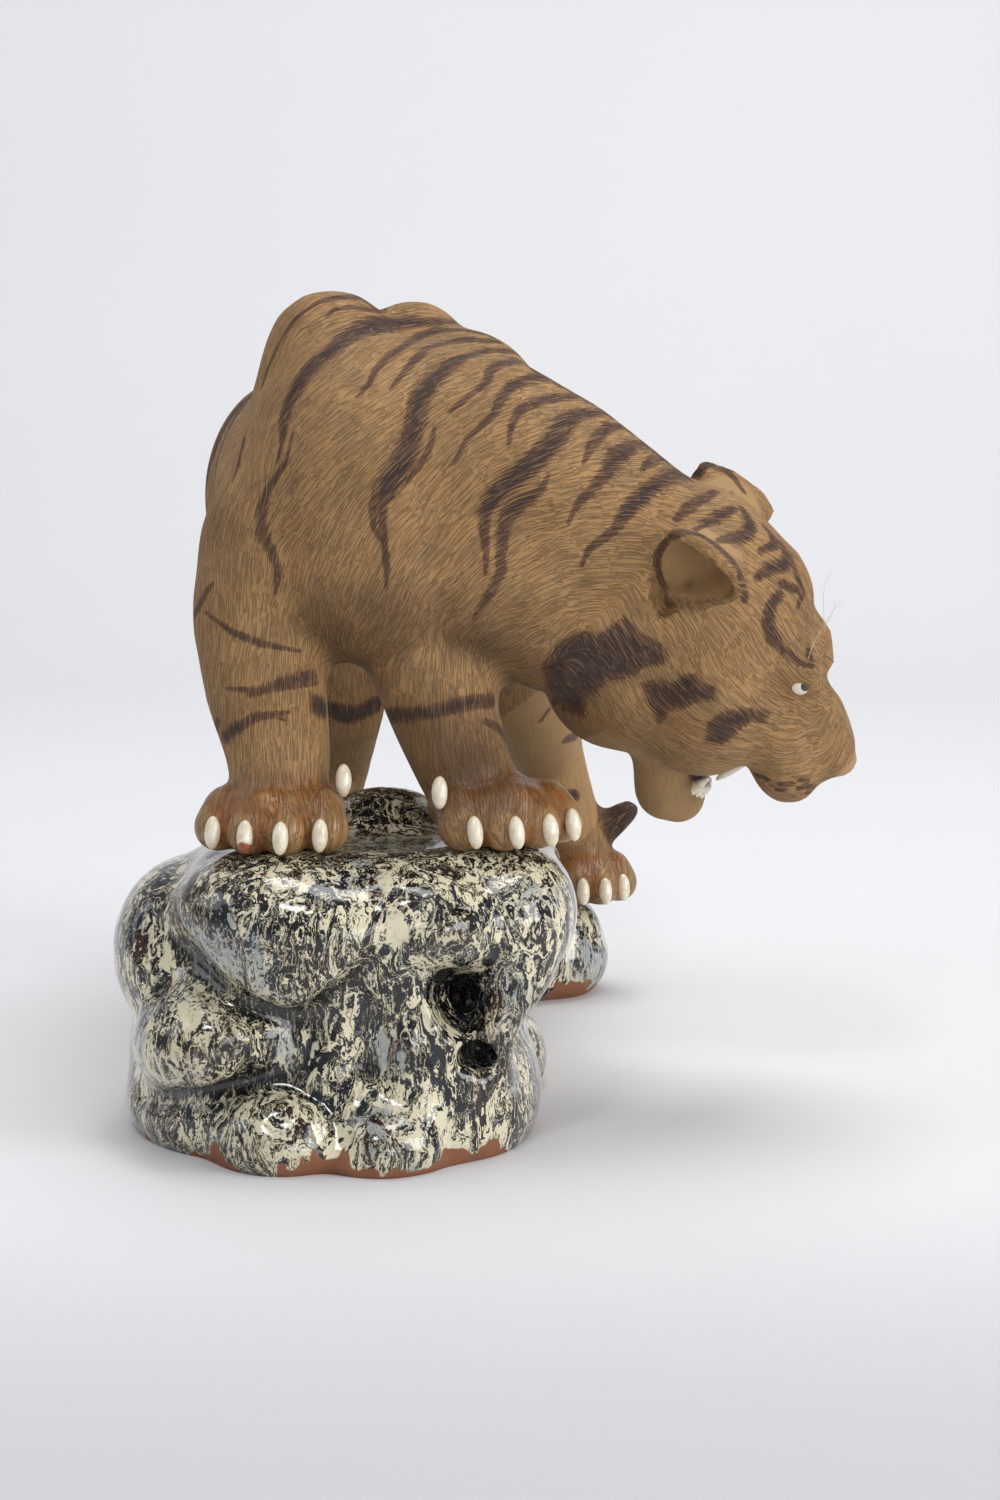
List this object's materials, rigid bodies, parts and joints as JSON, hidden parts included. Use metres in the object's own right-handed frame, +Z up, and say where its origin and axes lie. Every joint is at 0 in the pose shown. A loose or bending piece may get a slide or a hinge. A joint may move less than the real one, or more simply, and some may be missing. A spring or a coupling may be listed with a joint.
{
  "type": "ceramic tiger figurine",
  "caption": "Fired stoneware tiger that stands roaring with its front paws on a tall glazed rock, head turned to its left; open hollow under the rock.",
  "frame": {"origin": "on the table, under the middle of the figurine's outline", "axes": "+X to the side that the head is turned to, +Y to the tail, +Z up"},
  "size_m": [0.2906, 0.3802, 0.3209],
  "materials": {
    "stoneware": "unglazed tan stoneware with combed fur and dark brown stripes",
    "rock_glaze": "glossy black and cream streaked glaze",
    "ivory_glaze": "glossy ivory glaze of claws and teeth",
    "bristle": "pale stiff bristle"
  },
  "bodies": {
    "root": {"figurine": "stoneware", "brow_bristle_1": "bristle", "brow_bristle_2": "bristle", "brow_bristle_3": "bristle", "brow_bristle_4": "bristle"}
  },
  "joints": []
}
